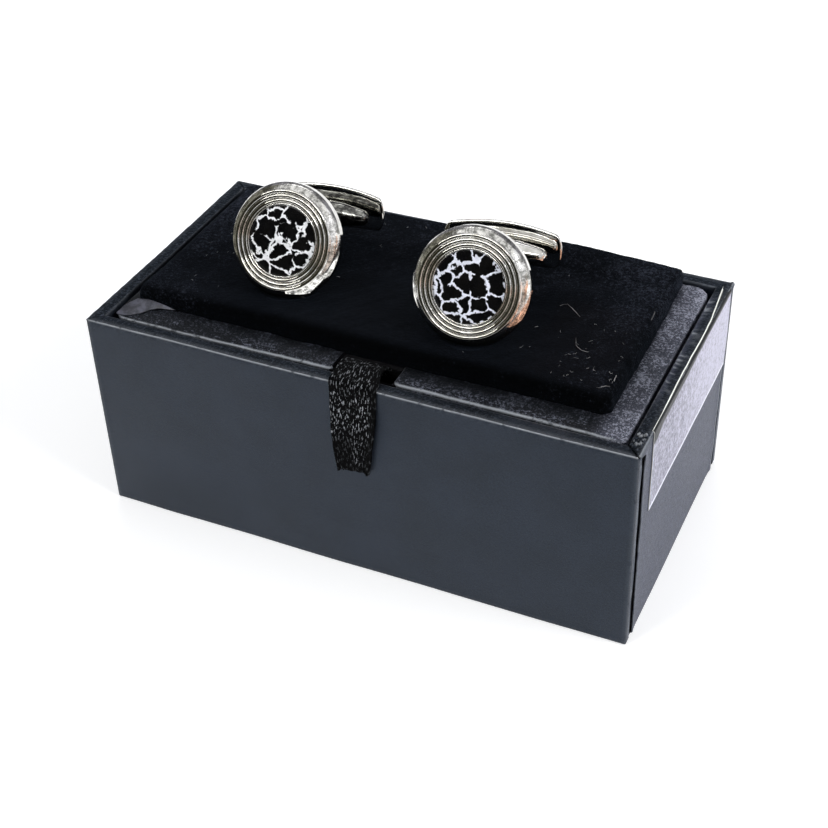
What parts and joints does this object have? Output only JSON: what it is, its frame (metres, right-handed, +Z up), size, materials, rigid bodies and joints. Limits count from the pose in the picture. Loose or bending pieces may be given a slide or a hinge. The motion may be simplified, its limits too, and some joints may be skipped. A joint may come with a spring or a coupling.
{
  "type": "cufflink display box",
  "caption": "Open-topped rectangular paper-covered tray with a lift-out velvet insert, a pull ribbon and round stone-set cufflinks with swivel toggles standing in slits.",
  "frame": {"origin": "centre of the tray's underside, on the surface it stands on", "axes": "+X along the tray's length, +Z up, the ribbon tab on the -Y side"},
  "size_m": [0.0802, 0.0431, 0.0485],
  "materials": {
    "greyboard": "matt",
    "black_paper": "satin",
    "end_paper": "satin",
    "tape": "matt",
    "black_card": "matt",
    "foam": "matt",
    "velvet": "pile",
    "ribbon": "satin weave",
    "polished_steel": "polished",
    "spring_steel": "drawn",
    "stone": "polished, white veins"
  },
  "bodies": {
    "tray": {"bottom_board": "greyboard", "front_board": "greyboard", "back_board": "greyboard", "left_board": "greyboard", "right_board": "greyboard", "corner_stays": "tape", "base_sheet": "black_paper", "floor_lining": "black_paper", "front_wrap": "black_paper", "back_wrap": "black_paper", "left_wrap": "black_paper", "right_wrap": "black_paper", "right_end_strip": "end_paper"},
    "insert": {"deck_board": "greyboard", "deck_wrap": "black_paper", "front_leg": "black_card", "back_leg": "black_card", "left_leg": "black_card", "right_leg": "black_card", "foam_pad": "foam", "velvet_cover": "velvet", "ribbon_tab": "ribbon"},
    "left_cufflink": {"left_face_body": "polished_steel", "left_bezel_ring": "polished_steel", "left_stone": "stone", "left_post": "polished_steel"},
    "left_toggle": {"left_toggle_barrel": "polished_steel", "left_hinge_pin": "polished_steel", "left_toggle_leaf": "polished_steel", "left_click_ball": "spring_steel", "left_click_spring": "spring_steel"},
    "right_cufflink": {"right_face_body": "polished_steel", "right_bezel_ring": "polished_steel", "right_stone": "stone", "right_post": "polished_steel"},
    "right_toggle": {"right_toggle_barrel": "polished_steel", "right_hinge_pin": "polished_steel", "right_toggle_leaf": "polished_steel", "right_click_ball": "spring_steel", "right_click_spring": "spring_steel"}
  },
  "joints": [
    {"name": "insert_lift", "type": "slide", "parent": "tray", "child": "insert", "axis": [0, 0, 1], "range_m": [0, 0.032]},
    {"name": "left_cufflink_lift", "type": "slide", "parent": "insert", "child": "left_cufflink", "axis": [0, 0, 1], "range_m": [0, 0.025]},
    {"name": "left_toggle_turn", "type": "hinge", "parent": "left_cufflink", "child": "left_toggle", "pos_m": [-0.01718, 0.00755, 0.03852], "axis": [-0.0142, 0.18, 0.9836], "range_deg": [0, 90]},
    {"name": "right_cufflink_lift", "type": "slide", "parent": "insert", "child": "right_cufflink", "axis": [0, 0, 1], "range_m": [0, 0.025]},
    {"name": "right_toggle_turn", "type": "hinge", "parent": "right_cufflink", "child": "right_toggle", "pos_m": [0.01039, 0.0063, 0.039], "axis": [-0.0172, 0.1485, 0.9888], "range_deg": [0, 90]}
  ]
}
